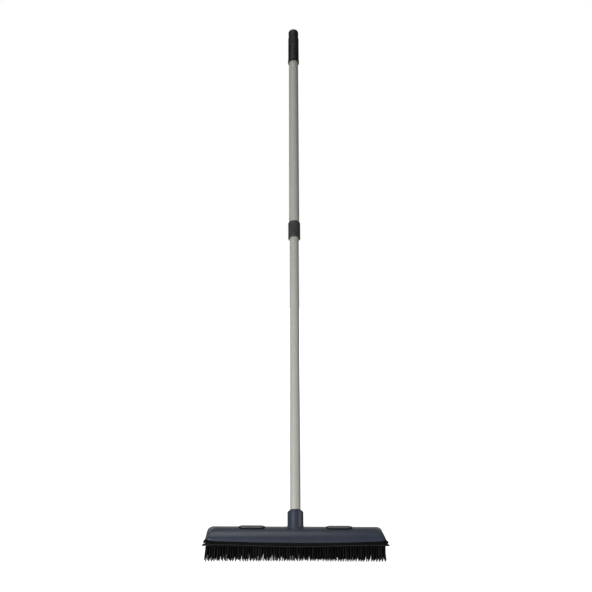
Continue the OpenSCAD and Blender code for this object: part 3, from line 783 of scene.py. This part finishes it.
def grip():
    """The hand grip: a bead at its foot, four grooves, and fluting above them."""
    low, high, bore, bead = span("grip")
    r = bead - 0.5
    groove_s, groove_pitch, grooves, groove_depth = low + 19.5, 7, 4, 0.6
    flute_s, flutes, flute_depth = low + 46, 24, 0.38
    outline = [(bore, low + 0.4, 0.2), (bore + 0.5, low, 0.3), (bead, low, 1.4), (bead, low + 7, 1.2),
               (r, low + 9, 1.2)]
    for s in (groove_s + groove_pitch * k for k in range(grooves)):
        outline += [(r, s - 0.3, 0.35), (r - groove_depth, s + 0.3, 0.3), (r - groove_depth, s + 1.3, 0.3),
                    (r, s + 1.9, 0.35)]
    outline += [(r, s, 0) for s in even(flute_s - 1, high - 2.5, 1.0)]
    outline += [(r, high, 1.3), (bore, high, 0.2)]

    def fluted(a, radius, s):
        if abs(radius - r) > 0.01 or s < flute_s:
            return radius
        window = smooth((s - flute_s) / 2.5) * smooth((high - 3.5 - s) / 2.0)
        return radius - flute_depth * window * (0.5 + 0.5 * math.cos(flutes * a)) ** 1.5

    sleeve = rings(turned(rounded(outline, 3), flutes * 8, fluted), closed=True)
    make("grip_sleeve", sleeve, "upper", GRIP, ["grip"], sharp=50)


def hanging_cap():
    """The round end cap with a plug that stands in the tube, and a hanging hole from side to side."""
    low, high, _, outer = span("hanging_cap")
    seat = span("upper_tube")[1] + PLAY
    plug_r, nose_r = 10.15, 6
    hole_s, hole_r = 1205.0, 3.5
    profile = [(1e-4, low), (plug_r - 0.6, low), (plug_r, low + 0.6), (plug_r, seat), (outer - 0.5, seat),
               (outer - 0.15, seat + 0.15), (outer, seat + 0.5)]
    profile += [(outer, s) for s in even(seat + 2, high - nose_r - 1, 2.0)]
    profile += [(outer - nose_r + nose_r * math.cos(a), high - nose_r + nose_r * math.sin(a))
                for a in (math.pi / 20 * k for k in range(10))]
    profile += [(r, high) for r in (outer - nose_r - 0.2, 4, 2, 1e-4)]
    ob = make("end_cap", rings(turned(profile, 96)), "upper", GRIP, ["hanging_cap"])
    # The tool widens towards both mouths, which rounds the hole's rims
    mouth = [(hole_r + 2.2, -13.0), (hole_r + 1.1, -11.6), (hole_r + 0.45, -10.6), (hole_r + 0.12, -9.8),
             (hole_r, -9.0)]
    hole = turned(mouth + [(r, -s) for r, s in mouth[::-1]], 48, origin=FOOT + POLE * hole_s, axis=SIDE,
                  side=POLE)
    cut(ob, make("hole", rings(hole, caps=True)), sharp=40)


housing()
plugs()
make("plug_seal_rings", both(seal), "lower", RIM_AND_GAP_SHADE, ["plug_seals"])
rubber_mat()
squeegee()
bristle_rows()
tube("lower_pole_tube", "lower_tube", "lower")
tube("upper_pole_tube", "upper_tube", "upper")
collar()
grip()
hanging_cap()

# ---------------------------------------------------------------- floor, light and camera
def stage_floor():
    """A wide pale floor that looks white and fades into the surroundings a few metres away."""
    radius, points = 30.0, 96
    angles = [2 * math.pi * k / points for k in range(points)]
    mesh = bpy.data.meshes.new("floor")
    mesh.from_pydata([(radius * math.cos(a), radius * math.sin(a), 0) for a in angles], [],
                     [tuple(range(points))])
    ob = bpy.data.objects.new("floor", mesh)
    bpy.context.scene.collection.objects.link(ob)
    m = bpy.data.materials.new("pale_floor")
    mesh.materials.append(m)
    m.use_nodes = True
    t = m.node_tree
    b = t.nodes["Principled BSDF"]
    b.inputs["Base Color"].default_value = (0.40, 0.40, 0.40, 1)
    b.inputs["Roughness"].default_value = 0.9
    b.inputs["Specular IOR Level"].default_value = 0.1
    distance = t.nodes.new("ShaderNodeVectorMath")
    distance.operation = "LENGTH"
    t.links.new(t.nodes.new("ShaderNodeTexCoord").outputs["Object"], distance.inputs[0])
    fade = map_range(t, distance.outputs["Value"], 0.5, 3.5, 1, 0)
    fade.interpolation_type = "SMOOTHSTEP"
    t.links.new(fade.outputs["Result"], b.inputs["Alpha"])
    # A glow that only shows in direct view lifts the floor close to the white of the surroundings
    glow = t.nodes.new("ShaderNodeEmission")
    glow.inputs["Color"].default_value = (1, 1, 1, 1)
    t.links.new(t.nodes.new("ShaderNodeLightPath").outputs["Is Camera Ray"], glow.inputs["Strength"])
    lifted = t.nodes.new("ShaderNodeAddShader")
    t.links.new(b.outputs[0], lifted.inputs[0])
    t.links.new(glow.outputs[0], lifted.inputs[1])
    t.links.new(lifted.outputs[0], t.nodes["Material Output"].inputs["Surface"])


def area(name, place, aim, size, power, spread=180):
    """A rectangular lamp at place, turned towards aim."""
    data = bpy.data.lights.new(name, "AREA")
    data.shape, data.size, data.size_y = "RECTANGLE", size[0], size[1]
    data.energy, data.spread = power, math.radians(spread)
    ob = bpy.data.objects.new(name, data)
    ob.location = place
    ob.rotation_mode = "QUATERNION"
    ob.rotation_quaternion = (Vector(aim) - Vector(place)).to_track_quat("-Z", "Y")
    bpy.context.scene.collection.objects.link(ob)


def surroundings(front, back):
    """A white backdrop. What the object reflects of the room is as dim as front, but for a patch low behind
    it that is as bright as back."""
    world = bpy.data.worlds.new("studio")
    bpy.context.scene.world = world
    world.use_nodes = True
    t = world.node_tree
    t.nodes.clear()
    towards = t.nodes.new("ShaderNodeSeparateXYZ")
    t.links.new(t.nodes.new("ShaderNodeTexCoord").outputs["Generated"], towards.inputs[0])
    aside, patch, level = (t.nodes.new("ShaderNodeMath") for _ in range(3))
    aside.operation, patch.operation, level.operation = "ABSOLUTE", "MULTIPLY", "MULTIPLY_ADD"
    t.links.new(towards.outputs["X"], aside.inputs[0])
    behind = map_range(t, towards.outputs["Y"], 0.1, 0.95, 0, back - front)
    not_high = map_range(t, towards.outputs["Z"], 0.30, 0.65, 1, 0.1)
    not_aside = map_range(t, aside.outputs[0], 0.16, 0.45, 1, 0.15)
    t.links.new(not_high.outputs["Result"], patch.inputs[0])
    t.links.new(not_aside.outputs["Result"], patch.inputs[1])
    t.links.new(behind.outputs["Result"], level.inputs[0])
    t.links.new(patch.outputs[0], level.inputs[1])
    level.inputs[2].default_value = front
    room, white = t.nodes.new("ShaderNodeBackground"), t.nodes.new("ShaderNodeBackground")
    t.links.new(level.outputs[0], room.inputs["Strength"])
    white.inputs["Color"].default_value = (1, 1, 1, 1)
    pick = t.nodes.new("ShaderNodeMixShader")
    t.links.new(t.nodes.new("ShaderNodeLightPath").outputs["Is Camera Ray"], pick.inputs[0])
    t.links.new(room.outputs[0], pick.inputs[1])
    t.links.new(white.outputs[0], pick.inputs[2])
    out = t.nodes.new("ShaderNodeOutputWorld")
    t.links.new(pick.outputs[0], out.inputs["Surface"])


stage_floor()
surroundings(front=0.08, back=0.95)
# The main light, a narrow one that draws the line along the crown, and a weak one for the right side
area("key", (-1.00, -1.35, 0.50), (0, 0.05, 0.12), (0.8, 0.8), 32)
area("top", (-0.32, 0.36, 1.65), (0, 0, 0.05), (1.2, 0.5), 1.0, spread=75)
area("fill", (1.10, -0.30, 0.40), (0, 0.15, 0.28), (0.8, 0.8), 4.0)
bpy.context.scene.view_settings.view_transform = "Standard"
bpy.context.scene.view_settings.look = "None"

cam_data = bpy.data.cameras.new("camera")
cam_data.sensor_width, cam_data.lens = 36, 53.5
cam_data.clip_start, cam_data.clip_end = 0.05, 100
cam = bpy.data.objects.new("camera", cam_data)
place = Matrix.Translation((-0.0601, -1.570, 0.4654))
turn, tilt, roll = (math.radians(a) for a in (-2.010, -0.032, 0.775))
cam.matrix_world = (place @ Matrix.Rotation(turn, 4, "Z") @ Matrix.Rotation(math.pi / 2 + tilt, 4, "X")
                    @ Matrix.Rotation(roll, 4, "Z"))
bpy.context.scene.collection.objects.link(cam)
bpy.context.scene.camera = cam
